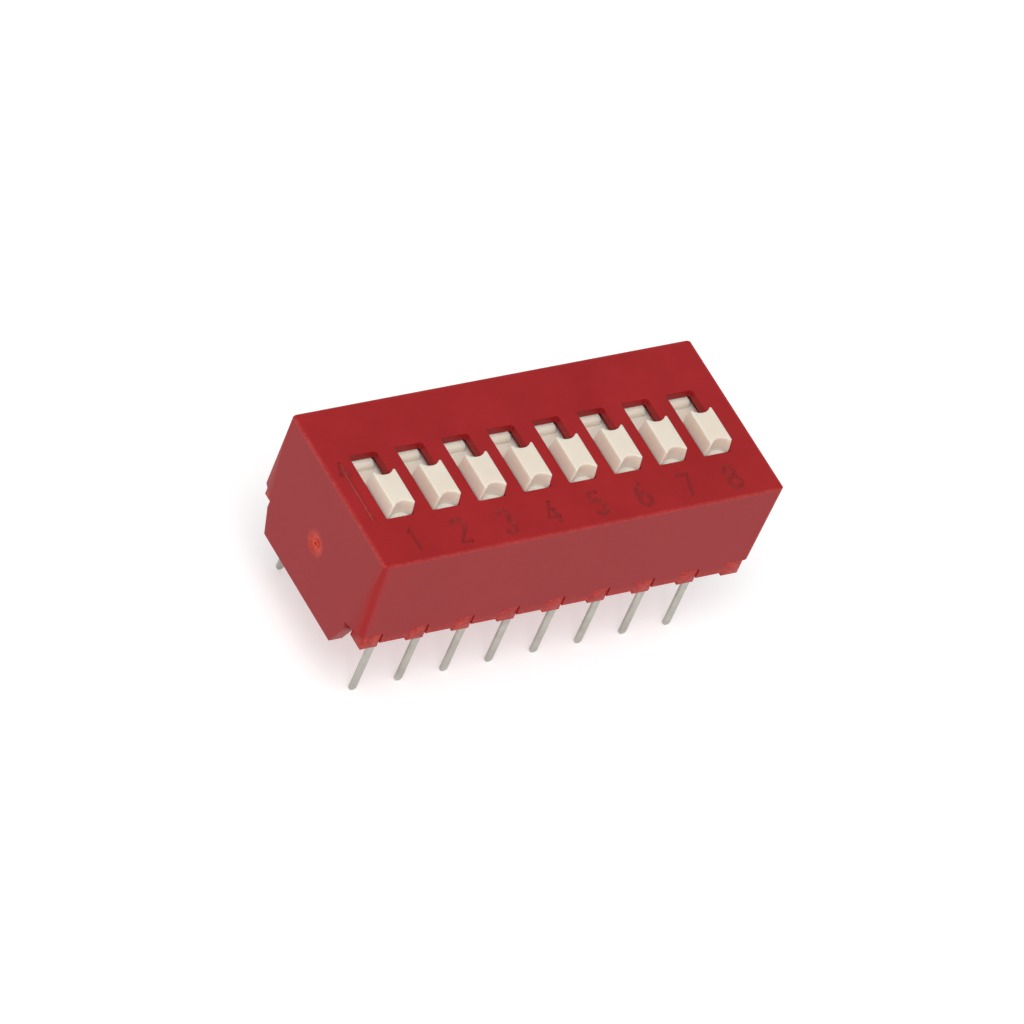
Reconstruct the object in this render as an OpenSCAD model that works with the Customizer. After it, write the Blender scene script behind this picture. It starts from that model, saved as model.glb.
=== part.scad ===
// Slide DIP switch for through-hole boards, in millimetres.
// Z = 0 is the board that the housing stands on, and +Y is the closed side of the slides.
// X runs along the row of positions, with position 1 at the low end, and every slide is shown open.

/* [Row] */
// Number of switch positions
positions = 8; // [2:1:12]
// Distance from one position to the next
pitch = 2.54; // [2.3:0.01:3.1]
// Distance between the two rows of pins
row_span = 7.62; // [7.2:0.01:7.8]

/* [Cover] */
// Cover length past the centre of each end position
end_margin = 2.29; // [2.1:0.01:3]
// Depth of the top face
cover_d = 9.62; // [9.4:0.01:11.6]
// Height of the long walls
cover_h = 5.56; // [4.6:0.01:6.7]
// Height of the long walls' lower edge over the board
stand_h = 1.3; // [1:0.01:1.6]
// How far the facet beside each corner takes the corner in by the lower edge of the walls
end_lean = 0.32; // [0:0.01:0.36]
// How far each long wall leans out by its lower edge
side_lean = 0.18; // [0:0.01:0.3]
// Radius of the upright corners
corner_r = 0.3; // [0.2:0.01:0.6]
// Thickness of a long wall under the top face
wall = 0.61; // [0.45:0.01:0.8]
// Thickness of an end wall
end_wall = 0.76; // [0.6:0.01:0.9]
// Thickness of the top plate over the slides
plate_t = 0.45; // [0.35:0.01:0.6]

/* [Ends] */
// Width of the upright part of each end, at the lower edge of the long walls
pad_w = 7.74; // [6:0.01:8]
// Width of each end's foot on the board
foot_w = 6.78; // [5:0.01:7]
// Diameter of the moulding gate's dimple
gate_d = 1.0; // [0.8:0.1:1.5]
// Depth of the dimple
gate_depth = 0.06; // [0.02:0.01:0.1]
// Diameter of the gate's stub in the dimple
stub_d = 0.45; // [0.4:0.01:0.7]
// Diameter of the pit in the stub
pit_d = 0.2; // [0.1:0.01:0.3]
// Height of the gate over the board
gate_h = 3.12; // [2:0.01:4]

/* [Notches] */
// Width of each notch in a long wall's lower edge
notch_w = 1.0; // [0.6:0.01:1.2]
// Height of each notch
notch_h = 0.65; // [0.3:0.01:1]
// Gap round the base's lug in its notch
lug_gap = 0.03; // [0.02:0.01:0.1]
// How far a lug lies behind the wall's face
lug_recess = 0.06; // [0:0.01:0.3]
// Gap between a corner lug and the end wall
pad_gap = 0.08; // [0.04:0.01:0.15]

/* [Slides] */
// Length of a slot in the top plate
slot_l = 3.94; // [3.2:0.01:4.1]
// Width of a slot
slot_w = 1.5; // [1.2:0.01:1.6]
// Middle of the slots, towards the closed side
slot_y = -0.11; // [-0.2:0.01:0.2]
// Length of the handle that stands in the slot
handle_l = 2.2; // [1.8:0.01:2.4]
// Height of the handle over the top face
handle_rise = 0.75; // [0:0.01:1.2]
// How far each side of the handle leans in over that height
handle_lean = 0.1; // [0:0.01:0.2]
// Gap between a handle and its slot
handle_gap = 0.05; // [0.03:0.01:0.1]
// Depth of the finger scoop in each end of the handle
scoop_depth = 0.28; // [0.1:0.01:0.4]
// Width of each horn beside the scoop
horn_w = 0.06; // [0.02:0.01:0.2]
// Thickness of the carriage under the plate, to the top of its raised ends
carriage_t = 1.8; // [1.4:0.01:2]
// How far the carriage reaches past the slot at either limit
slot_cover = 0.2; // [0.1:0.01:0.25]
// Depth of the valley between the raised ends and the handle
valley = 0.32; // [0.2:0.01:0.5]
// Length of each raised end
brow_l = 0.57; // [0.4:0.01:0.7]
// Rounding of a raised end's inner edge
brow_r = 0.28; // [0.1:0.01:0.3]
// Gap between a sliding face and what guides it
run_gap = 0.05; // [0.03:0.01:0.08]

/* [Base] */
// Thickness of the barrier between two slides
barrier_w = 0.42; // [0.3:0.01:0.6]
// Height of the channel for a contact, from the deck to the carriage's ledges
channel_h = 1.41; // [1.2:0.01:1.6]
// Width of each ledge that carries a carriage
ledge_w = 0.21; // [0.1:0.01:0.25]
// How far the base plate hangs below the long walls
base_drop = 0.3; // [0.1:0.01:0.5]
// Width of the rail that stands on the board
rail_w = 5.8; // [5:0.01:6.8]
// Gap between the base and the cover
fit_gap = 0.04; // [0.02:0.01:0.08]

/* [Terminals] */
// Width of a pin
pin_w = 0.4; // [0.35:0.01:0.6]
// Thickness of the terminal strip
strip_t = 0.18; // [0.15:0.01:0.3]
// Length of a pin below the board's plane
pin_l = 3.6; // [2.8:0.01:4.5]
// Width of the contact blade in the deck
blade_w = 1.2; // [1:0.01:1.4]
// Height of the shoulder over the base's underside
shoulder_h = 0.4; // [0.2:0.01:0.6]
// Blade end on the open side, past the slots' middle
front_blade_y = -0.1; // [-0.3:0.01:0]
// Blade end on the closed side, past the slots' middle
back_blade_y = 1.1; // [1:0.01:1.2]

/* [Contacts] */
// Width of the bridging contact
contact_w = 1.0; // [0.8:0.01:1.1]
// Thickness of its spring strip
contact_t = 0.12; // [0.08:0.01:0.15]
// Distance between its two feet
contact_span = 2.6; // [2.4:0.01:2.8]
// Half length of the flat that lies in the pocket
arch_half = 0.45; // [0.4:0.01:0.6]
// Rise of each toe over its foot
toe_rise = 0.3; // [0.2:0.01:0.4]
// Length of each toe
toe_l = 0.35; // [0.2:0.01:0.4]
// Split between the two fingers of each leg
finger_gap = 0.24; // [0.1:0.01:0.3]
// Distance from the flat to the start of the split
split_start = 0.15; // [0.1:0.01:0.3]
// Depth of the pocket that holds it under the carriage
pocket_depth = 0.5; // [0.3:0.01:0.6]
// Length of the pocket past each end of the flat
pocket_end = 0.6; // [0.5:0.01:1]
// Diameter of the locating peg
peg_d = 0.5; // [0.3:0.01:0.6]
// Gap round the peg, and round the contact in its pocket
peg_gap = 0.04; // [0.02:0.01:0.08]
// Gap under the feet
foot_gap = 0.03; // [0.02:0.01:0.05]

/* [Hidden] */
$fn = 48;
eps = 0.5;                                      // overshoot of every cut
row = [for (i = [1:positions]) i];
first_x = -(positions - 1) * pitch / 2;
ribs = [for (i = [0:positions]) first_x + (i - 0.5) * pitch];

// Cover
top_z = stand_h + cover_h;
half_l = -first_x + end_margin;
half_d = cover_d / 2;
low_d = half_d + side_lean;
in_l = half_l - end_wall;
in_d = half_d - wall;
plate_z = top_z - plate_t;
end_tilt = atan(end_lean / cover_h);
side_tilt = atan(side_lean / cover_h);
facet_turn = atan(end_lean / (low_d - pad_w / 2));

// Slides, at their own middle
travel = slot_l - handle_l - 2 * handle_gap;
off_y = slot_y - travel / 2;
handle_w = slot_w - 2 * handle_gap;
tip_z = top_z + handle_rise;
brow_z = plate_z - run_gap;
valley_z = brow_z - valley;
carriage_z = brow_z - carriage_t;
carriage_l = slot_l + travel + 2 * slot_cover;
carriage_w = pitch - barrier_w - 2 * run_gap;
scoop_half = handle_w / 2 - handle_lean - horn_w;
scoop_r = (pow(scoop_half, 2) + pow(scoop_depth, 2)) / (2 * scoop_depth);
roof_z = carriage_z + pocket_depth;

// Base
under_z = stand_h - base_drop;
ledge_z = carriage_z - run_gap;
deck_z = ledge_z - channel_h;
base_l = in_l - fit_gap;
base_d = in_d - fit_gap;
channel_w = carriage_w - 2 * ledge_w;
lug_top = stand_h + notch_h - lug_gap;
lug_d = low_d - lug_recess;
lug_in = pad_w / 2 + pad_gap;

// Terminals and contacts
pin_y = row_span / 2;
shoulder_z = under_z + shoulder_h;
arch_z = roof_z - contact_t / 2;
foot_z = deck_z + foot_gap + contact_t / 2;
pocket_half = arch_half + pocket_end;

// A shape on both ends, on both sides, or in all four corners
module both(axis) {
    children();
    mirror(axis) children();
}

module four() both([1, 0, 0]) both([0, 1, 0]) children();

// An outline in Y and Z, drawn out along X between two places
module along_x(from, to) {
    translate([from, 0, 0]) rotate([90, 0, 90]) linear_extrude(to - from) children();
}

// A block from one corner to the other
module block(low, high) {
    translate(low) cube(high - low);
}

// A bent strip of one thickness that follows a path, with round bends
module strip(path, t) {
    for (i = [0:len(path) - 2]) {
        step = path[i + 1] - path[i];
        translate(path[i]) rotate(atan2(step[1], step[0])) translate([0, -t / 2]) square([norm(step), t]);
    }
    for (p = path) translate(p) circle(d = t);
}

function position_x(i) = first_x + (i - 1) * pitch;

// What one corner loses: outside the facet beside it, and outside its rounding
module corner_waste() {
    out = [cos(facet_turn), sin(facet_turn)];
    middle = -corner_r * [(1 - out[1]) / out[0], 1];
    reach = corner_r + eps;
    translate([half_l, half_d, top_z]) rotate([side_tilt, end_tilt, 0])
        translate([0, 0, -cover_h - eps]) linear_extrude(cover_h + 2 * eps) {
            rotate(facet_turn) translate([0, -low_d]) square([end_lean + eps, 2 * low_d]);
            difference() {
                polygon([middle, [middle[0], reach], [reach, reach], middle + reach * out]);
                translate(middle) circle(corner_r);
            }
        }
}

// The outer form: long walls that lean out, and ends that stay upright between their facets
module cover_block() {
    difference() {
        along_x(-half_l, half_l)
            polygon([[-low_d, stand_h], [low_d, stand_h], [half_d, top_z], [-half_d, top_z]]);
        four() corner_waste();
    }
}

module notches() {
    half = notch_w / 2;
    both([0, 1, 0]) {
        for (x = [for (i = [1:positions - 1]) ribs[i]])
            block([x - half, in_d - eps, stand_h - eps], [x + half, low_d + eps, stand_h + notch_h]);
        both([1, 0, 0]) block(
            [-ribs[0] - half, pad_w / 2, stand_h - eps],
            [half_l + eps, low_d + eps, stand_h + notch_h]
        );
    }
}

// The foot that one end stands on
module foot() {
    along_x(in_l, half_l)
        polygon([
            [-foot_w / 2, 0], [foot_w / 2, 0], [pad_w / 2, stand_h], [pad_w / 2, stand_h + eps],
            [-pad_w / 2, stand_h + eps], [-pad_w / 2, stand_h]
        ]);
}

module gate() {
    translate([-half_l, 0, gate_h]) rotate([0, 90, 0]) difference() {
        translate([0, 0, -eps]) cylinder(d = gate_d, h = gate_depth + eps);
        difference() {
            cylinder(d = stub_d, h = 2 * gate_depth);
            translate([0, 0, -eps]) cylinder(d = pit_d, h = 2 * gate_depth + eps);
        }
    }
}

module cover() {
    color("firebrick") difference() {
        union() {
            difference() {
                cover_block();
                block([-in_l, -in_d, stand_h - eps], [in_l, in_d, plate_z]);
                notches();
            }
            both([1, 0, 0]) foot();
        }
        for (i = row)
            translate([position_x(i) - slot_w / 2, slot_y - slot_l / 2, plate_z - eps])
                cube([slot_w, slot_l, plate_t + 2 * eps]);
        gate();
    }
}

// Lugs that show in the notches
module lugs() {
    half = notch_w / 2 - lug_gap;
    both([0, 1, 0]) {
        for (x = [for (i = [1:positions - 1]) ribs[i]])
            block([x - half, 0, under_z], [x + half, lug_d, lug_top]);
        both([1, 0, 0]) block([-ribs[0] - half, lug_in, under_z], [-ribs[0] + half, lug_d, lug_top]);
    }
}

// One barrier: wide up to the ledges that carry the slides, and thin above them
module barrier(x) {
    foot = (pitch - channel_w) / 2;
    block([max(x - foot, -base_l), -base_d, deck_z - eps], [min(x + foot, base_l), base_d, ledge_z]);
    block(
        [max(x - barrier_w / 2, -base_l), -base_d, ledge_z - eps],
        [min(x + barrier_w / 2, base_l), base_d, plate_z - fit_gap]
    );
}

module base() {
    color("brown") difference() {
        union() {
            block([-base_l, -base_d, under_z], [base_l, base_d, deck_z]);
            block([-base_l, -rail_w / 2, 0], [base_l, rail_w / 2, under_z + eps]);
            lugs();
            for (x = ribs) barrier(x);
        }
        for (i = row) {
            front_strip(i);
            back_strip(i);
        }
    }
}

// A handle's outline across the slot: upright in the slot, leaning in over the top face
module handle_outline() {
    half = handle_w / 2;
    tip = half - handle_lean;
    polygon([
        [-half, carriage_z], [half, carriage_z], [half, top_z], [tip, tip_z], [-tip, tip_z], [-half, top_z]
    ]);
}

module handle() {
    difference() {
        rotate([90, 0, 0]) linear_extrude(handle_l, center = true) handle_outline();
        both([0, 1, 0])
            translate([0, handle_l / 2 - scoop_depth + scoop_r, valley_z]) cylinder(r = scoop_r, h = tip_z);
    }
}

// The raised end of a carriage, with a round inner edge
module brow() {
    outer = carriage_l / 2;
    inner = outer - brow_l;
    along_x(-handle_w / 2, handle_w / 2) {
        translate([inner + brow_r, valley_z - eps]) square([brow_l - brow_r, valley + eps]);
        translate([inner, valley_z - eps]) square([brow_l, valley + eps - brow_r]);
        translate([inner + brow_r, brow_z - brow_r]) circle(r = brow_r);
    }
}

module slide(i) {
    color("antiquewhite") translate([position_x(i), off_y, 0]) {
        difference() {
            union() {
                block(
                    [-carriage_w / 2, -carriage_l / 2, carriage_z],
                    [carriage_w / 2, carriage_l / 2, valley_z]
                );
                both([0, 1, 0]) brow();
                handle();
            }
            block(
                [-contact_w / 2 - peg_gap, -pocket_half, carriage_z - eps],
                [contact_w / 2 + peg_gap, pocket_half, roof_z]
            );
        }
        translate([0, 0, carriage_z]) cylinder(d = peg_d, h = pocket_depth + valley);
    }
}

// The bridging contact: a sprung arch with two fingers and a domed foot on each leg
module contact(i) {
    heel = contact_span / 2;
    leg = [[0, arch_z], [arch_half, arch_z], [heel, foot_z], [heel + toe_l, foot_z + toe_rise]];
    color("goldenrod") translate([position_x(i), off_y, 0]) difference() {
        along_x(-contact_w / 2, contact_w / 2) both([1, 0]) strip(leg, contact_t);
        cylinder(d = peg_d + 2 * peg_gap, h = tip_z);
        both([0, 1, 0])
            block([-finger_gap / 2, arch_half + split_start, 0], [finger_gap / 2, 2 * heel, tip_z]);
    }
}

// A terminal on the low-Y side: pin, shoulder in the base, and blade in the deck
module terminal_strip(blade_end) {
    blade_z = deck_z - strip_t / 2;
    along_x(-blade_w / 2, blade_w / 2) intersection() {
        strip([[-pin_y, shoulder_z], [-pin_y, blade_z], [blade_end, blade_z]], strip_t);
        translate([-2 * pin_y, shoulder_z]) square([2 * pin_y + blade_end, deck_z]);
    }
    block(
        [-pin_w / 2, -pin_y - strip_t / 2, pin_w / 2 - pin_l],
        [pin_w / 2, -pin_y + strip_t / 2, shoulder_z]
    );
    translate([0, -pin_y, pin_w / 2 - pin_l]) rotate([90, 0, 0])
        cylinder(d = pin_w, h = strip_t, center = true);
}

module front_strip(i) translate([position_x(i), 0, 0]) terminal_strip(slot_y + front_blade_y);

module back_strip(i)
    translate([position_x(i), 0, 0]) mirror([0, 1, 0]) terminal_strip(-slot_y - back_blade_y);

module front_terminal(i) color("silver") front_strip(i);

module back_terminal(i) color("silver") back_strip(i);

cover();
base();
for (i = row) {
    slide(i);
    contact(i);
    front_terminal(i);
    back_terminal(i);
}
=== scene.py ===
import math

import bmesh
import bpy
from mathutils import Matrix, Vector


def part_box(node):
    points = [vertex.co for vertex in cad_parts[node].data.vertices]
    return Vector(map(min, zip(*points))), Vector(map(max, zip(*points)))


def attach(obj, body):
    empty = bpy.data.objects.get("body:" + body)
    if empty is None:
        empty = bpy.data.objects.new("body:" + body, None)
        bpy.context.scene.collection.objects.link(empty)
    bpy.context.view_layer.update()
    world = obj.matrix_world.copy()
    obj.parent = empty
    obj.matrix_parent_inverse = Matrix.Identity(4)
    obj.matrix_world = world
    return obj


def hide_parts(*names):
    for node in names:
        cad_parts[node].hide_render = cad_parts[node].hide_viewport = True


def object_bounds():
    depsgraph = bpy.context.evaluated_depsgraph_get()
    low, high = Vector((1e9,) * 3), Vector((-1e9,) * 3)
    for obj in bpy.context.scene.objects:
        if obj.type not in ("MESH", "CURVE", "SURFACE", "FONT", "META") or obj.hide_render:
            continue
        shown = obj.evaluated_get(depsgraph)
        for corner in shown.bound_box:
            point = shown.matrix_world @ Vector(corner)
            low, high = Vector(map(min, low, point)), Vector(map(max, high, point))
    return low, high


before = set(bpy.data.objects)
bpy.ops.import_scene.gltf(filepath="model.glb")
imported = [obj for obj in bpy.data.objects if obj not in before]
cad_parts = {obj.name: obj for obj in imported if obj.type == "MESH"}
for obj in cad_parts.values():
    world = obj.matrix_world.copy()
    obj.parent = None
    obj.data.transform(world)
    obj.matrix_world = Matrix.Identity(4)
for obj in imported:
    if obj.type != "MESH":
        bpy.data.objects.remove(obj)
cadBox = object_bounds()
mm = 0.001              # the dictionaries hold millimetres, apart from the stage's and the camera's
positions = range(1, 9)
print("frame loaded:", len(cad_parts), "nodes")


# shader wiring

class Wire:  # one node's output: arithmetic on it adds Math nodes
    def __init__(self, paint, socket):
        self.paint = paint
        self.socket = socket

    def math(self, operation, first, second):
        return self.paint.node("ShaderNodeMath", {"operation": operation}, [first, second])

    def __add__(self, other):
        return self.math("ADD", self, other)

    def __radd__(self, other):
        return self.math("ADD", other, self)

    def __sub__(self, other):
        return self.math("SUBTRACT", self, other)

    def __rsub__(self, other):
        return self.math("SUBTRACT", other, self)

    def __mul__(self, other):
        return self.math("MULTIPLY", self, other)

    def __rmul__(self, other):
        return self.math("MULTIPLY", other, self)

    def __truediv__(self, other):
        return self.math("DIVIDE", self, other)

    def __rtruediv__(self, other):
        return self.math("DIVIDE", other, self)

    def __abs__(self):
        return self.paint.node("ShaderNodeMath", {"operation": "ABSOLUTE"}, [self])


class Paint:  # one material and its nodes
    def __init__(self, name, **fixed):
        self.material = bpy.data.materials.new(name)
        self.material.use_nodes = True
        self.tree = self.material.node_tree
        self.shader = self.tree.nodes["Principled BSDF"]
        for socket, value in fixed.items():
            self.shader.inputs[socket].default_value = value
        self.place = self.node("ShaderNodeTexCoord", out="Object")

    def node(self, kind, settings=None, values=(), out=0):
        made = self.tree.nodes.new(kind)
        for key, value in (settings or {}).items():
            if key == "stops":
                self.setStops(made.color_ramp, value)
            else:
                setattr(made, key, value)
        pairs = values.items() if isinstance(values, dict) else enumerate(values)
        for socket, value in pairs:
            self.feed(made.inputs[socket], value)
        return Wire(self, made.outputs[out])

    def setStops(self, ramp, stops):
        while len(ramp.elements) < len(stops):
            ramp.elements.new(0.5)
        for element, (position, shade) in zip(ramp.elements, stops):
            element.position = position
            element.color = (shade, shade, shade, 1)

    def feed(self, socket, value):
        if isinstance(value, Wire):
            self.tree.links.new(value.socket, socket)
        else:
            socket.default_value = value

    def noise(self, size, detail=2, roughness=0.5, stretch=None):  # size of one blotch, in metres
        place = self.place
        if stretch:
            place = self.node("ShaderNodeVectorMath", {"operation": "MULTIPLY"}, [place, stretch])
        values = {"Vector": place, "Scale": 1 / size, "Detail": detail, "Roughness": roughness}
        return self.node("ShaderNodeTexNoise", None, values)

    def ramp(self, wire, *stops):  # numbers in, numbers out
        return self.node("ShaderNodeValToRGB", {"stops": stops}, [wire])

    def mix(self, share, first, second):  # colours
        settings = {"data_type": "RGBA"}
        return self.node("ShaderNodeMix", settings, {0: share, 6: first, 7: second}, out=2)

    def distance(self, point):
        return self.node("ShaderNodeVectorMath", {"operation": "DISTANCE"}, [self.place, point], out="Value")

    def axis(self, letter):
        return self.node("ShaderNodeSeparateXYZ", None, [self.place], out=letter)

    def least(self, first, second):
        return self.node("ShaderNodeMath", {"operation": "MINIMUM"}, [first, second])

    def finish(self, colour, roughness=None, height=None, depth=0.001 * mm, strength=1.0):
        self.feed(self.shader.inputs["Base Color"], colour)
        if roughness is not None:
            self.feed(self.shader.inputs["Roughness"], roughness)
        if height is not None:
            values = {"Height": height, "Distance": depth, "Strength": strength}
            self.feed(self.shader.inputs["Normal"], self.node("ShaderNodeBump", None, values))
        return self.material


# mesh helpers; every length in them is in millimetres

meshForm = {
    "weld": 0.0002,       # points nearer than this are one
    "weldAfterCuts": 0.0004,
    "weldImported": 0.001,
    "past": 1.0,          # how far a cutting tool reaches past what it cuts
    "flatAngle": 1,       # faces that turn less than this are one
    "sharpAngle": 30,
    "normalWeight": 80,
}


def addObject(name, mesh):
    made = bpy.data.objects.new(name, mesh)
    bpy.context.scene.collection.objects.link(made)
    return made


def meshObject(name, points, faces):
    mesh = bpy.data.meshes.new(name)
    mesh.from_pydata([Vector(p) * mm for p in points], [], faces)
    bm = bmesh.new()
    bm.from_mesh(mesh)
    bmesh.ops.remove_doubles(bm, verts=bm.verts, dist=meshForm["weld"] * mm)
    bmesh.ops.recalc_face_normals(bm, faces=bm.faces)
    bm.to_mesh(mesh)
    bm.free()
    return addObject(name, mesh)


def loft(name, rings):  # a closed skin over rings of equally many points
    count = len(rings[0])
    points = [p for ring in rings for p in ring]
    faces = [list(range(count)), [len(points) - 1 - i for i in range(count)]]
    for low in range(0, len(points) - count, count):
        high = low + count
        for i in range(count):
            j = (i + 1) % count
            faces.append([low + i, low + j, high + j, high + i])
    return meshObject(name, points, faces)


def arc(centre, radius, start, end, steps):
    turns = [math.radians(start + (end - start) * i / steps) for i in range(steps + 1)]
    return [(centre[0] + radius * math.cos(t), centre[1] + radius * math.sin(t)) for t in turns]


def quarterRound(radius, steps):  # inset and rise of each ring round an edge, from the side up
    turns = [math.pi / 2 * i / steps for i in range(steps + 1)]
    return [(radius - radius * math.cos(t), radius * math.sin(t)) for t in turns]


def fourfold(corner):  # an outline from its +X +Y quarter, which runs from the X axis to the Y axis
    back = list(reversed(corner))
    return (
        corner
        + [(-x, y) for x, y in back]
        + [(-x, -y) for x, y in corner]
        + [(x, -y) for x, y in back]
    )


def roundedBox(halfX, halfY, radius, steps=4):
    return fourfold(arc((halfX - radius, halfY - radius), radius, 0, 90, steps))


def flatRing(outline, z, offset=(0, 0)):
    return [(x + offset[0], y + offset[1], z) for x, y in outline]


def joined(name, pieces):
    bm = bmesh.new()
    for piece in pieces:
        bm.from_mesh(piece.data)
        bpy.data.objects.remove(piece)
    mesh = bpy.data.meshes.new(name)
    bm.to_mesh(mesh)
    bm.free()
    return addObject(name, mesh)


def carve(target, tool, operation="DIFFERENCE", overlapping=False):
    step = target.modifiers.new("carve", "BOOLEAN")
    step.operation = operation
    step.solver = "EXACT"
    step.object = tool
    step.use_self = overlapping
    step.material_mode = "TRANSFER" if tool.data.materials else "INDEX"
    applied(target)
    bpy.data.objects.remove(tool)


def applied(target):  # bakes the modifiers into the mesh
    bpy.context.view_layer.update()
    shape = target.evaluated_get(bpy.context.evaluated_depsgraph_get())
    fresh = bpy.data.meshes.new_from_object(shape)
    target.modifiers.clear()
    target.data = fresh


def smoothed(target, crease=35):  # smooth shading that stops at edges sharper than crease
    bm = bmesh.new()
    bm.from_mesh(target.data)
    bmesh.ops.remove_doubles(bm, verts=bm.verts, dist=meshForm["weldAfterCuts"] * mm)
    bmesh.ops.dissolve_degenerate(bm, edges=bm.edges, dist=meshForm["weld"] * mm)
    for face in bm.faces:
        face.smooth = True
    for edge in bm.edges:
        edge.smooth = edge.is_manifold and edge.calc_face_angle() < math.radians(crease)
    bm.to_mesh(target.data)
    bm.free()
    weights = target.modifiers.new("weights", "WEIGHTED_NORMAL")
    weights.keep_sharp = True
    weights.weight = meshForm["normalWeight"]
    return target


def softened(node, name, width, segments=2):  # a CAD node's own form with its edges broken
    made = addObject(name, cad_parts[node].data.copy())
    made.data.materials.clear()
    bm = bmesh.new()
    bm.from_mesh(made.data)
    bmesh.ops.remove_doubles(bm, verts=bm.verts, dist=meshForm["weldImported"] * mm)
    flat, bend = math.radians(meshForm["flatAngle"]), math.radians(meshForm["sharpAngle"])
    bmesh.ops.dissolve_limit(bm, verts=bm.verts, edges=bm.edges, angle_limit=flat)
    sharp = [e for e in bm.edges if e.is_manifold and e.calc_face_angle() > bend]
    bmesh.ops.bevel(
        bm, geom=sharp, offset=width * mm, segments=segments, profile=0.5, affect="EDGES", clamp_overlap=True
    )
    bm.to_mesh(made.data)
    bm.free()
    return smoothed(made)


def place(piece, body, slot, material, *nodes):
    if not piece.data.materials:
        piece.data.materials.append(material)
    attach(piece, body)
    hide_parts(*nodes)


# finishes

redTones = {
    "deep": (0.315, 0.0090, 0.0110, 1),
    "bright": (0.360, 0.0120, 0.0150, 1),
    "wall": (0.290, 0.0100, 0.0130, 1),        # painted shade and sheen: the walls a darker, pinker red than the top
    # corner: painted light, the rounded corners a brighter, purer red without the walls' painted sheen
    "corner": (0.330, 0.0030, 0.0040, 1),
    "pale": (0.560, 0.0480, 0.0230, 1),        # where the plastic is thin or stressed
    # rim: painted highlight along the top rim's edges, also the tone of the arrow's painted highlight
    "rim": (0.470, 0.0500, 0.0450, 1),
    # mark: painted shade in the engraved grooves
    "markShade": (0.185, 0.0150, 0.0150, 1),
    "specular": 0.22,
    "roughness": (0.36, 0.12),                 # the least, and what the grain adds
    "sizes": {"cloud": 3, "blotch": 0.4, "fleck": 0.2, "grain": 0.09},
    "grainDepth": 0.0022,
    "baseThin": 0.75,                          # how much of the base is pale
}


def mouldedRed(name, spots=None, thin=0.0):  # spots: pairs of a mask and its tone
    tones, sizes = redTones, redTones["sizes"]
    paint = Paint(name, **{"Specular IOR Level": tones["specular"]})
    cloud = paint.noise(sizes["cloud"] * mm, 4, 0.6)
    grain = paint.noise(sizes["grain"] * mm, 3, 0.6)
    blotch = paint.ramp(paint.noise(sizes["blotch"] * mm, 4, 0.7), (0.3, 0), (0.7, 1))
    colour = paint.mix(paint.ramp(cloud, (0.35, 0), (0.65, 1)), tones["deep"], tones["bright"])
    if thin:
        fleck = paint.ramp(paint.noise(sizes["fleck"] * mm, 3, 0.7), (0.4, 0), (0.65, 1))
        colour = paint.mix(fleck * thin, colour, tones["pale"])
    for mask, tone in spots(paint, blotch) if spots else ():
        colour = paint.mix(mask, colour, tones[tone])
    least, added = tones["roughness"]
    return paint.finish(colour, least + grain * added, grain, tones["grainDepth"] * mm, 0.6)


ivoryTones = {
    "body": (0.785, 0.72, 0.615, 1),
    "warm": (0.76, 0.665, 0.55, 1),
    "specular": 0.4,
    "roughness": (0.36, 0.12),
    "sizes": {"cloud": 1.2, "grain": 0.06},
    "grainDepth": 0.0015,
    "glow": 0.8,                               # how much light goes through, and how far in each colour
    "glowReach": (1.0, 0.75, 0.55),
    "glowScale": 0.6,
}


def mouldedIvory():
    tones, sizes = ivoryTones, ivoryTones["sizes"]
    fixed = {
        "Specular IOR Level": tones["specular"],
        "Subsurface Weight": tones["glow"],
        "Subsurface Radius": tones["glowReach"],
        "Subsurface Scale": tones["glowScale"] * mm,
    }
    paint = Paint("moulded ivory", **fixed)
    cloud = paint.noise(sizes["cloud"] * mm, 3, 0.55)
    grain = paint.noise(sizes["grain"] * mm, 2, 0.5)
    colour = paint.mix(paint.ramp(cloud, (0.35, 0), (0.7, 1)) * 0.6, tones["body"], tones["warm"])
    least, added = tones["roughness"]
    return paint.finish(colour, least + grain * added, grain, tones["grainDepth"] * mm, 0.5)


tinTones = {
    "bright": (0.52, 0.515, 0.465, 1),
    "dull": (0.40, 0.395, 0.355, 1),
    "roughness": (0.34, 0.16),
    "sizes": {"cloud": 0.6, "line": 0.05},
    "lineStretch": (1, 1, 0.05),               # the strip was rolled along Z
    "lineDepth": 0.0015,
}


def tinPlate():  # rolled strip: fine lines along it under the plating
    tones, sizes = tinTones, tinTones["sizes"]
    paint = Paint("tin plate", Metallic=1.0)
    lines = paint.noise(sizes["line"] * mm, 3, 0.6, tones["lineStretch"])
    cloud = paint.noise(sizes["cloud"] * mm, 3, 0.6)
    colour = paint.mix(paint.ramp(cloud, (0.3, 0), (0.7, 1)), tones["dull"], tones["bright"])
    least, added = tones["roughness"]
    return paint.finish(colour, least + cloud * added, lines, tones["lineDepth"] * mm, 0.6)


goldTones = {
    "dull": (0.80, 0.56, 0.20, 1),
    "bright": (0.88, 0.66, 0.28, 1),
    "roughness": (0.25, 0.12),
    "lineSize": 0.04,
    "lineStretch": (1, 0.05, 0.05),
    "lineDepth": 0.001,
}


def goldSpring():
    tones = goldTones
    paint = Paint("gold plate", Metallic=1.0)
    lines = paint.noise(tones["lineSize"] * mm, 2, 0.5, tones["lineStretch"])
    colour = paint.mix(lines, tones["dull"], tones["bright"])
    least, added = tones["roughness"]
    return paint.finish(colour, least + lines * added, lines, tones["lineDepth"] * mm, 0.5)


# cover

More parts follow.
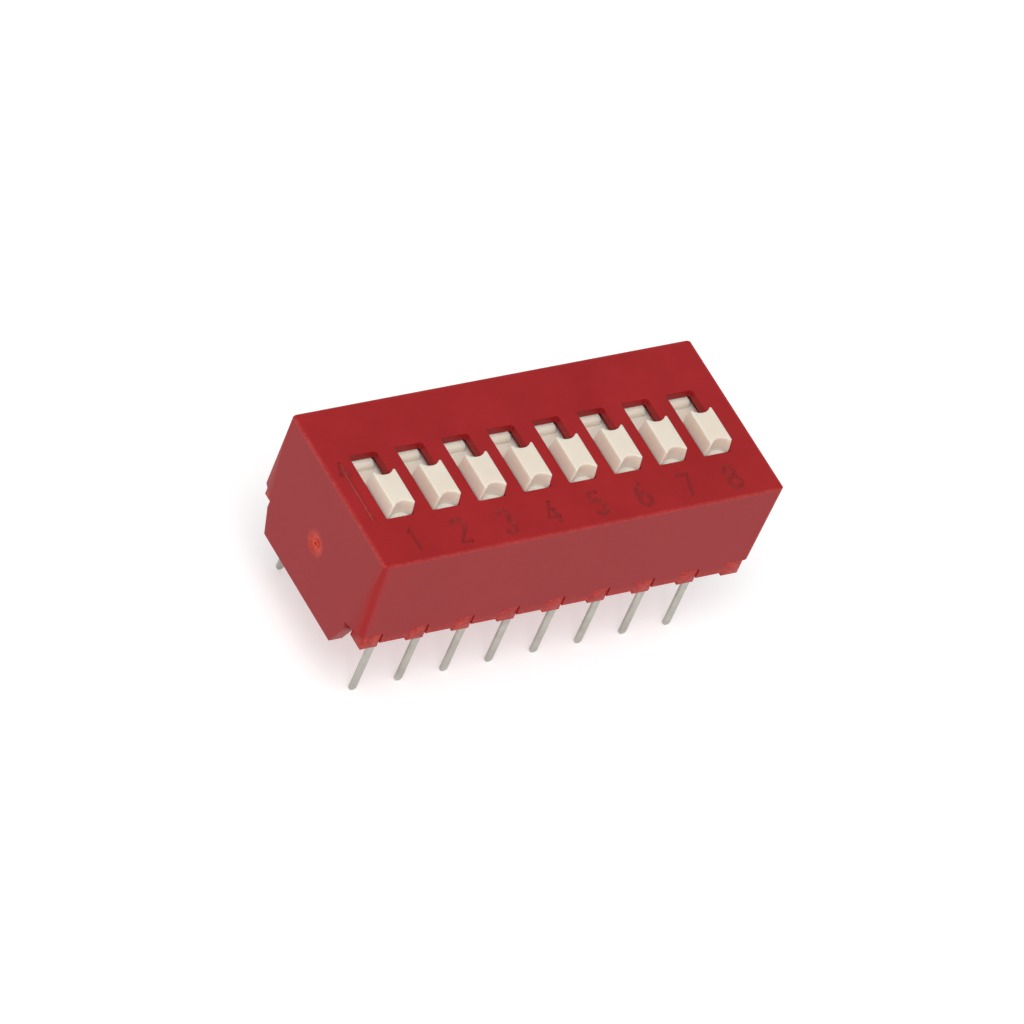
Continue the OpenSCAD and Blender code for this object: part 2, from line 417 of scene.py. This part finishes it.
coverForm = {
    "standHeight": 1.3,       # the long walls' lower edge over the board
    "topHalfDepth": 4.81,
    "endLean": 0.32,          # of each corner, by the walls' lower edge
    "facetHalf": 3.87,        # where the facet beside a corner starts, at that edge
    "footHalf": 3.39,
    "footRise": 0.3,          # how far it runs up into the end wall
    "cornerRadius": 0.3,
    "rimRadius": 0.08,
    "wall": 0.61,
    "endWall": 0.76,
    "plate": 0.45,
    "wallRings": (0.3, 0.6, 0.9, 1.2, 2.5),   # depths under the top where the walls get a ring
    "cavityCorner": 0.2,
    "soft": 0.05,             # small edges
    "lowEdge": 0.03,
    "notchWidth": 1.0,
    "notchHeight": 0.65,
    "slotSize": (1.5, 3.94),
    "slotMiddle": -0.11,
    "slotRim": 0.05,
    "slotCorner": 0.08,
    "gateHeight": 3.12,
    "gateDimple": ((0.5, -0.5), (0.5, 0), (0.46, 0.02), (0.37, 0.06)),   # radius and depth of each ring
    "gateStub": ((0.255, 0.26), (0.225, 0.036), (0.185, 0.01)),
    "gatePit": ((0.1, -0.1), (0.1, 0.04), (0.05, 0.12)),
}
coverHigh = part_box("cover")[1] / mm
topHeight = coverHigh.z
halfLength = coverHigh.x
positionXs = [sum(corner.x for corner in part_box(f"slide_{i}")) / 2 / mm for i in positions]
pitch = positionXs[1] - positionXs[0]


def coverOutline(z, inset=0.0):
    f = coverForm
    share = (topHeight - z) / (topHeight - f["standHeight"])
    turn = math.atan(f["endLean"] / (coverHigh.y - f["facetHalf"]))
    radius = f["cornerRadius"]
    middleX = halfLength - f["endLean"] * share - radius * (1 - math.sin(turn)) / math.cos(turn)
    middleY = f["topHalfDepth"] + (coverHigh.y - f["topHalfDepth"]) * share - radius
    facet = f["topHalfDepth"] + (f["facetHalf"] - f["topHalfDepth"]) * share
    if facet > middleY + radius * math.sin(turn):   # too short to reach past the rounding
        turn = math.acos(min(1, (halfLength - middleX) / radius))
        facet = middleY + radius * math.sin(turn)
    rounding = arc((middleX, middleY), radius - inset, math.degrees(turn), 90, 8)
    return fourfold([(halfLength - inset, facet - inset / 2)] + rounding)


def coverBlock():
    f = coverForm
    rings = []
    for inset, rise in quarterRound(f["lowEdge"], 2)[::-1]:
        z = f["standHeight"] + f["lowEdge"] - rise
        rings.append(flatRing(coverOutline(z, inset), z))
    for z in [topHeight - drop for drop in reversed(f["wallRings"])]:
        rings.append(flatRing(coverOutline(z), z))
    for inset, rise in quarterRound(f["rimRadius"], 5):
        z = topHeight - f["rimRadius"] + rise
        rings.append(flatRing(coverOutline(z, inset), z))
    return loft("cover", rings)


def foot(side):
    f = coverForm
    soft = f["soft"]
    inner = halfLength - f["endWall"]

    def ring(z, half, inset=0.0):
        corner = arc((halfLength - inset - soft, half - inset - soft), soft, 0, 90, 3)
        corner.append((inner, half - inset))
        whole = corner + [(x, -y) for x, y in reversed(corner)]
        return [(side * x, y, z) for x, y in whole]

    rings = [ring(soft - rise, f["footHalf"], inset) for inset, rise in quarterRound(soft, 2)[::-1]]
    rings += [ring(f["standHeight"], f["facetHalf"]), ring(f["standHeight"] + f["footRise"], f["facetHalf"])]
    return loft("foot", rings)


def notchTools():
    f = coverForm
    half = f["notchWidth"] / 2
    top = f["standHeight"] + f["notchHeight"]
    innerWall = f["topHalfDepth"] - f["wall"]
    past = meshForm["past"]
    tools = []
    middles = [x + pitch / 2 for x in positionXs[:-1]]
    spans = [(x - half, x + half, innerWall - f["wall"] / 2) for x in middles]
    last = positionXs[-1] + pitch / 2
    spans.append((last - half, halfLength + past, f["facetHalf"]))
    spans.append((-halfLength - past, half - last, f["facetHalf"]))
    soft = f["soft"]
    for low, high, start in spans:
        for side in (1, -1):
            shape = arc((high - soft, top - soft), soft, 0, 90, 3)
            shape += arc((low + soft, top - soft), soft, 90, 180, 3)
            shape += [(low, 0), (high, 0)]
            rings = [[(x, side * y, z) for x, z in shape] for y in (start, f["topHalfDepth"] + past)]
            tools.append(loft("tool", rings))
    return joined("notches", tools)


def slotTool(x):
    f = coverForm
    halfX, halfY = f["slotSize"][0] / 2, f["slotSize"][1] / 2
    rim, corner, past = f["slotRim"], f["slotCorner"], meshForm["past"]

    def ring(z, grow):
        return flatRing(roundedBox(halfX + grow, halfY + grow, corner + grow), z, (x, f["slotMiddle"]))

    rings = [ring(topHeight - past, 0)]
    rings += [ring(topHeight - rim + rise, grow) for grow, rise in quarterRound(rim, 4)]
    return loft("tool", rings + [ring(topHeight + past, rim)])


def cavityTool():
    f = coverForm
    halfX = halfLength - f["endWall"]
    halfY = f["topHalfDepth"] - f["wall"]
    ends = (-meshForm["past"], topHeight - f["plate"])
    return loft("tool", [flatRing(roundedBox(halfX, halfY, f["cavityCorner"]), z) for z in ends])


def gateRings(name, rings, steps=32):  # turned about an axis along X, at the near end
    turns = [2 * math.pi * i / steps for i in range(steps)]
    z = coverForm["gateHeight"]
    shape = [
        [(depth - halfLength, radius * math.cos(t), z + radius * math.sin(t)) for t in turns]
        for radius, depth in rings
    ]
    return loft(name, shape)


def gateTool():
    dimple = gateRings("tool", coverForm["gateDimple"])
    carve(dimple, gateRings("stub", coverForm["gateStub"]))
    carve(dimple, gateRings("pit", coverForm["gatePit"]), "UNION")
    return dimple


# engraved marks

markForm = {
    "height": 1.56,
    "width": 0.84,
    "middle": -3.56,                 # of the numerals, in Y
    "lineRadius": 0.2,
    "depth": 0.055,
    "arrow": (-10.35, -2.05, 1.55),  # X, tail and tip
    "arrowHead": (0.27, 0.8),        # half width and length
    "arrowThroat": 0.7,              # share of the head's length
    "arrowLine": 0.05,               # half width of the painted highlight along its middle
    "sizes": {"grit": 0.11, "paleSpots": 0.3},
    "lineTone": (0.5, 0.4),          # how pale that painted highlight is, and what the pale spots add
    "floorPaleSpots": 0.25,               # how much the pale spots lighten the floor
    "roughness": (0.45, 0.2),
    "gritDepth": 0.006,
}


def markedRed():  # the floor of an engraved mark: grit-mottled painted shade, and a painted highlight along the arrow's middle
    f, tones = markForm, redTones
    paint = Paint("engraved red", **{"Specular IOR Level": tones["specular"]})
    grit = paint.noise(f["sizes"]["grit"] * mm, 4, 0.7)
    paleSpots = paint.ramp(paint.noise(f["sizes"]["paleSpots"] * mm, 3, 0.6), (0.52, 0), (0.66, 1))
    colour = paint.mix(paint.ramp(grit, (0.3, 0), (0.7, 1)), tones["markShade"], tones["deep"])
    x, tail, tip = f["arrow"]
    wander = (grit - 0.5) * (f["arrowLine"] * mm)
    offLine = abs(paint.axis("X") - x * mm + wander) / (2 * f["arrowLine"] * mm)
    shaft = paint.ramp((paint.axis("Y") - tail * mm) / ((tip - tail) * mm), (0.76, 1), (0.84, 0))
    # painted highlight along the arrow's middle, where its groove's floor would catch the light
    line = paint.ramp(offLine, (0.3, 1), (0.8, 0)) * shaft
    least, added = f["lineTone"]
    pale = line * (paleSpots * added + least) + paleSpots * f["floorPaleSpots"]
    colour = paint.mix(pale, colour, tones["rim"])
    least, added = f["roughness"]
    return paint.finish(colour, least + grit * added, grit, f["gritDepth"] * mm)


ringPoints = 20  # only a closed stroke has this many


def numeralStrokes(number):  # strokes in a box from -1 to 1 each way
    upper, lower = (0, 0.48), (0, -0.44)

    def bow(centre, radiusX, radiusY, start, end, steps=12):
        unit = arc((0, 0), 1, start, end, steps)
        return [(centre[0] + radiusX * x, centre[1] + radiusY * y) for x, y in unit]

    def ring(centre, radiusX, radiusY):
        return bow(centre, radiusX, radiusY, 0, 360, ringPoints)[:-1]

    strokes = {
        1: [[(-0.45, 0.62), (0.1, 1), (0.1, -1)]],
        2: [bow((0, 0.42), 0.95, 0.58, 165, -35) + [(-0.95, -1), (0.95, -1)]],
        3: [bow(upper, 0.8, 0.52, 150, -80), bow(lower, 0.95, 0.56, 82, -150)],
        4: [[(0.35, 1), (-1, -0.4), (1, -0.4)], [(0.45, 0.35), (0.45, -1)]],
        5: [[(0.8, 1), (-0.7, 1), (-0.8, 0.1)], bow((0, -0.36), 0.95, 0.64, 140, -150)],
        6: [ring(lower, 0.92, 0.56), bow((0.6, -0.3), 1.5, 1.35, 178, 100, 8)],
        7: [[(-0.95, 1), (0.95, 1), (-0.25, -1)]],
        8: [ring((0, 0.5), 0.76, 0.5), ring((0, -0.47), 0.95, 0.53)],
    }
    return strokes[number]


def engraving(strokes, middle, halfX, halfY):
    line = bpy.data.curves.new("line", "CURVE")
    line.dimensions = "3D"
    line.bevel_depth = markForm["lineRadius"] * mm
    line.bevel_resolution = 2
    line.use_fill_caps = True
    lift = topHeight + markForm["lineRadius"] - markForm["depth"]
    for stroke in strokes:
        spline = line.splines.new("POLY")
        spline.points.add(len(stroke) - 1)
        spline.use_cyclic_u = len(stroke) == ringPoints
        for point, (x, y) in zip(spline.points, stroke):
            point.co = (*(Vector((middle[0] + x * halfX, middle[1] + y * halfY, lift)) * mm), 1)
    shape = bpy.data.objects.new("line", line)
    bpy.context.scene.collection.objects.link(shape)
    bpy.context.view_layer.update()
    mesh = bpy.data.meshes.new_from_object(shape.evaluated_get(bpy.context.evaluated_depsgraph_get()))
    bpy.data.objects.remove(shape)
    return addObject("tool", mesh)


def markTools(material):
    radius = markForm["lineRadius"]
    halfX, halfY = (markForm["width"] - radius) / 2, (markForm["height"] - radius) / 2
    tools = [
        engraving(numeralStrokes(i + 1), (x, markForm["middle"]), halfX, halfY)
        for i, x in enumerate(positionXs)
    ]
    x, tail, tip = markForm["arrow"]
    wide, long = markForm["arrowHead"]
    left, right, throat = (-wide, tip - long), (wide, tip - long), (0, tip - long * markForm["arrowThroat"])
    tools.append(engraving([[(0, tail), (0, tip)]], (x, 0), 1, 1))
    tools.append(engraving([[left, (0, tip), right, throat, left]], (x, 0), 1, 1))
    whole = joined("marks", tools)
    whole.data.materials.append(material)
    return whole


# where the cover's red differs, partly as painted shade, sheen and highlights: lengths in millimetres,
# strengths from 0 to 1
spotForm = {
    # wall: painted shade and sheen on the walls, below the rim
    "wall": {"reach": 0.55, "least": 0.7, "blotched": 0.2},
    # corner: painted light on the rounded corners
    "corner": {"reach": 0.75, "least": 0.9},
    "lower": {"reach": 0.5, "inward": 0.4, "least": 0.1, "flecked": 0.55},
    # rim: painted highlight along the top rim
    "rim": {"reach": 0.18, "lean": 0.15, "least": 0.25, "flecked": 0.5},
    "halo": {"reach": 0.72, "least": 0.9, "ragged": 0.7, "raggedSize": 0.35},
    "fleckSize": 0.16,
}


def coverSpots(paint, blotch):
    f = spotForm
    wall, lower, rim, halo = f["wall"], f["lower"], f["rim"], f["halo"]
    fromEnd = halfLength * mm - abs(paint.axis("X"))
    fromSide = coverHigh.y * mm - abs(paint.axis("Y"))
    fromTop = topHeight * mm - paint.axis("Z")
    fromFoot = paint.axis("Z") - coverForm["standHeight"] * mm
    fleck = paint.ramp(paint.noise(f["fleckSize"] * mm, 3, 0.7), (0.45, 0), (0.6, 1))
    gate = (-halfLength * mm, 0, coverForm["gateHeight"] * mm)
    ragged = (paint.noise(halo["raggedSize"] * mm, 4, 0.7) - 0.5) * (halo["ragged"] * mm)

    def within(distance, reach, core):  # 1 up to the core, a share of the reach, and 0 past it
        return paint.ramp(distance / (reach * mm), (core, 1), (1, 0))

    # painted shade and sheen: the walls darker and pinker than the top
    paintedWallShade = within(paint.least(fromEnd, fromSide), wall["reach"], 0.73)
    underTop = paint.ramp(fromTop / (rim["reach"] * mm), (0.33, 0), (1, 1))
    # painted light: the rounded corners brighter and a purer red
    paintedCornerLight = within(fromEnd + fromSide, f["corner"]["reach"], 0.6)
    onLower = within(fromFoot, lower["reach"], 0) * within(fromSide, lower["inward"], 0.5)
    # painted highlight, flecked, along the top rim's edges
    paintedRimHighlight = within(paint.least(fromEnd, fromSide - rim["lean"] * mm) + fromTop, rim["reach"], 0.33)
    onHalo = within(paint.distance(gate) + ragged, halo["reach"], 0.5)
    return [
        (paintedWallShade * underTop * (blotch * wall["blotched"] + wall["least"]), "wall"),
        (paintedCornerLight * f["corner"]["least"], "corner"),
        (onLower * (fleck * lower["flecked"] + lower["least"]), "pale"),
        (paintedRimHighlight * (fleck * rim["flecked"] + rim["least"]), "rim"),
        (onHalo * halo["least"], "pale"),
    ]


red = mouldedRed("moulded red", coverSpots)
cover = coverBlock()
cover.data.materials.append(red)
carve(cover, notchTools())
for side in (1, -1):
    carve(cover, foot(side), "UNION")
carve(cover, cavityTool())
carve(cover, joined("slots", [slotTool(x) for x in positionXs]))
carve(cover, gateTool())
carve(cover, markTools(markedRed()), overlapping=True)
smoothed(cover)
place(cover, "housing", "housing_red", red, "cover")
print("cover:", len(cover.data.polygons), "faces", [m.name for m in cover.data.materials])


# base, terminals and contacts

softForm = {"base": 0.03, "terminal": 0.04, "contact": 0.015}  # widths of the broken edges
tin = tinPlate()
gold = goldSpring()
baseRed = mouldedRed("moulded base red", thin=redTones["baseThin"])
base = softened("base", "baseMoulding", softForm["base"])
place(base, "housing", "base_red", baseRed, "base")
for i in positions:
    for row in ("front", "back"):
        strip = softened(f"{row}_terminal_{i}", f"{row}Strip{i}", softForm["terminal"])
        place(strip, "housing", "tinned_strip", tin, f"{row}_terminal_{i}")
    spring = softened(f"contact_{i}", f"bridge{i}", softForm["contact"])
    place(spring, f"switch_{i}", "gold_spring", gold, f"contact_{i}")
print("base, terminals and contacts")


# slides

slideForm = {
    "handle": (1.4, 2.2),
    "lean": 0.1,
    "edge": 0.05,
    "tipGap": 0.001,         # under the top of the CAD slide's box
    "horn": 0.065,           # rounding of each horn
    "sill": -0.12,           # where the scoops end, over the cover's top
    "sillEdge": 0.05,
    "scoop": 0.28,
    "scoopHalf": 0.54,
    "carriageHigh": 6.04,
    "browLength": 0.57,
    "browRound": 0.26,
    "browEnd": 0.06,         # rounding of its two ends
    "browSeat": 0.1,         # how deep it sits in the carriage
    "browBack": 0.01,        # behind the carriage's end
    "headroom": 0.05,        # under the cover's plate
    "pocket": (1.08, 2.1, 5.06),
    "pocketEdge": 0.04,
    "peg": 0.25,
    "overlap": 0.2,          # of pieces that are joined
    "crease": 40,
}


def handleOutline(halfX, halfY, sink=0.0):  # scooped at both ends; sink pulls the whole outline in
    f = slideForm
    horn = f["horn"]
    radius = (f["scoopHalf"] ** 2 + f["scoop"] ** 2) / (2 * f["scoop"])
    bowlY = halfY - f["scoop"] + radius
    outerX, hornY = halfX - horn, halfY - horn
    innerX = math.sqrt((radius + horn) ** 2 - (bowlY - hornY) ** 2)
    if innerX > outerX:                      # too narrow for a flat tip
        innerX = outerX
        hornY = bowlY - math.sqrt((radius + horn) ** 2 - outerX ** 2)
    meet = math.degrees(math.atan2(bowlY - hornY, -innerX))
    outline = arc((outerX, hornY), horn - sink, 0, 90, 4) + arc((innerX, hornY), horn - sink, 90, meet, 4)
    return fourfold(outline + arc((0, bowlY), radius + sink, meet - 180, -90, 8)[:-1])


def slideHandle():
    f = slideForm
    halfX, halfY = f["handle"][0] / 2, f["handle"][1] / 2
    low = f["carriageHigh"] - f["overlap"]
    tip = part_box("slide_1")[1].z / mm - f["tipGap"]
    rings = [flatRing(handleOutline(halfX, halfY), z) for z in (low, topHeight)]
    for inset, rise in quarterRound(f["edge"], 5):
        z = tip - f["edge"] + rise
        narrow = f["lean"] * (z - topHeight) / (tip - topHeight)
        rings.append(flatRing(handleOutline(halfX - narrow, halfY, inset), z))
    handle = loft("handle", rings)
    sill = [flatRing(roundedBox(halfX, halfY, f["horn"]), low)]
    for inset, rise in quarterRound(f["sillEdge"], 3):
        z = topHeight + f["sill"] - f["sillEdge"] + rise
        sill.append(flatRing(roundedBox(halfX - inset, halfY - inset, f["horn"]), z))
    carve(handle, loft("sill", sill), "UNION")
    return handle


def softBlock(name, low, high, edge):
    middle = [(a + b) / 2 for a, b in zip(low, high)]
    halfX, halfY = (high[0] - low[0]) / 2, (high[1] - low[1]) / 2
    rounding = quarterRound(edge, 2)
    levels = [(low[2] + edge - up, inset) for inset, up in reversed(rounding)]
    levels += [(high[2] - edge + up, inset) for inset, up in rounding]
    rings = []
    for z, inset in levels:
        outline = roundedBox(halfX - inset, halfY - inset, max(edge - inset, edge / 5), 3)
        rings.append(flatRing(outline, z, middle[:2]))
    return loft(name, rings)


def brow(side, outer, top):
    f = slideForm
    halfX, soft, end = f["handle"][0] / 2, f["browRound"], f["browEnd"]
    inner, low = outer - f["browLength"], f["carriageHigh"] - f["browSeat"]
    profile = [(outer, low), (outer, top)]
    profile += arc((inner + soft, top - soft), soft, 90, 180, 6)
    profile += [(inner, low)]
    rounding = quarterRound(end, 2)
    stations = [(end - up - halfX, inset) for inset, up in reversed(rounding)]
    stations += [(halfX - end + up, inset) for inset, up in rounding]
    middleY = (inner + outer) / 2
    rings = []
    for x, inset in stations:
        shrunk = [(middleY + (y - middleY) * (1 - inset), low + (z - low) * (1 - inset)) for y, z in profile]
        rings.append([(x, side * y, z) for y, z in shrunk])
    return loft("brow", rings)


def slideMesh():
    f = slideForm
    low, high = (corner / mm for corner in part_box("slide_1"))
    halfX, halfLong = (high.x - low.x) / 2, (high.y - low.y) / 2
    corners = (-halfX, -halfLong, low.z), (halfX, halfLong, f["carriageHigh"])
    whole = softBlock("slide", *corners, f["edge"])
    top = topHeight - coverForm["plate"] - f["headroom"]
    for side in (1, -1):
        carve(whole, brow(side, halfLong - f["browBack"], top), "UNION")
    carve(whole, slideHandle(), "UNION")
    wide, long, roof = f["pocket"]
    corners = (-wide / 2, -long / 2, low.z - meshForm["past"]), (wide / 2, long / 2, roof)
    carve(whole, softBlock("pocket", *corners, f["pocketEdge"]))
    peg = fourfold(arc((0, 0), f["peg"], 0, 90, 6))
    carve(whole, loft("peg", [flatRing(peg, z) for z in (low.z, roof + f["overlap"])]), "UNION")
    return smoothed(whole, f["crease"])


ivory = mouldedIvory()
pattern = slideMesh()
pattern.data.materials.clear()
pattern.data.materials.append(ivory)
for i in positions:
    low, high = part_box(f"slide_{i}")
    slide = pattern.copy()
    slide.data = pattern.data.copy()
    slide.name = f"slide{i}"
    bpy.context.scene.collection.objects.link(slide)
    slide.data.transform(Matrix.Translation(((low.x + high.x) / 2, (low.y + high.y) / 2, 0)))
    place(slide, f"switch_{i}", "slide_ivory", ivory, f"slide_{i}")
bpy.data.objects.remove(pattern)
print("slides:", len(slide.data.polygons), "faces each")


# floor, light and camera: metres, but the lens and the sensor in millimetres

stageForm = {
    "floorHalf": 1.2,
    "floor": (0.60, 0.60, 0.60, 1),
    "floorGlow": 0.49,
    "floorRoughness": 0.75,
    "world": (1.0, 1.0, 1.0, 1),
    "worldStrength": 0.52,
    "key": {"at": (-0.22, -0.21, 0.56), "size": 0.35, "power": 2.5},
    "fill": {"at": (0.35, -0.45, 0.35), "size": 0.4, "power": 0.2},
}
cameraForm = {
    "azimuth": 46.55,
    "elevation": 43.85,
    "roll": 24.94,
    "distance": 0.475,
    "lens": 353.6,
    "sensor": 36,
    "clip": (0.01, 10),
    "aim": (0.00044, 0.00043, 0.00194),
}


def makeFloor():
    half = stageForm["floorHalf"]
    z = cadBox[0].z
    mesh = bpy.data.meshes.new("floor")
    corners = [(-half, -half, z), (half, -half, z), (half, half, z), (-half, half, z)]
    mesh.from_pydata(corners, [], [[0, 1, 2, 3]])
    floor = addObject("floor", mesh)
    shade = stageForm["floor"]
    glow = {"Emission Color": shade, "Emission Strength": stageForm["floorGlow"] / shade[0]}
    paint = Paint("pale floor", Roughness=stageForm["floorRoughness"], **glow)
    paint.finish(shade)
    floor.data.materials.append(paint.material)


def makeLight(name, values):
    light = bpy.data.lights.new(name, "AREA")
    light.size = values["size"]
    light.energy = values["power"]
    lamp = bpy.data.objects.new(name, light)
    lamp.location = values["at"]
    lamp.rotation_mode = "QUATERNION"
    lamp.rotation_quaternion = (-lamp.location).to_track_quat("-Z", "Y")
    lamp.visible_camera = False
    bpy.context.scene.collection.objects.link(lamp)


def makeWorld():
    world = bpy.data.worlds.new("studio")
    world.use_nodes = True
    sky = world.node_tree.nodes["Background"]
    sky.inputs["Color"].default_value = stageForm["world"]
    sky.inputs["Strength"].default_value = stageForm["worldStrength"]
    bpy.context.scene.world = world


def makeCamera():
    f = cameraForm
    turn, rise = math.radians(f["azimuth"]), math.radians(f["elevation"])
    back = Vector((-math.sin(turn) * math.cos(rise), -math.cos(turn) * math.cos(rise), math.sin(rise)))
    data = bpy.data.cameras.new("camera")
    data.lens = f["lens"]
    data.sensor_width = f["sensor"]
    data.clip_start, data.clip_end = f["clip"]
    camera = bpy.data.objects.new("camera", data)
    camera.rotation_mode = "QUATERNION"
    camera.location = Vector(f["aim"]) + back * f["distance"]
    upright = (-back).to_track_quat("-Z", "Y").to_matrix()
    camera.rotation_quaternion = (upright @ Matrix.Rotation(math.radians(f["roll"]), 3, "Z")).to_quaternion()
    bpy.context.scene.collection.objects.link(camera)
    bpy.context.scene.camera = camera


makeFloor()
makeLight("key", stageForm["key"])
makeLight("fill", stageForm["fill"])
makeWorld()
makeCamera()
bpy.context.scene.view_settings.view_transform = "Standard"
print("stage")
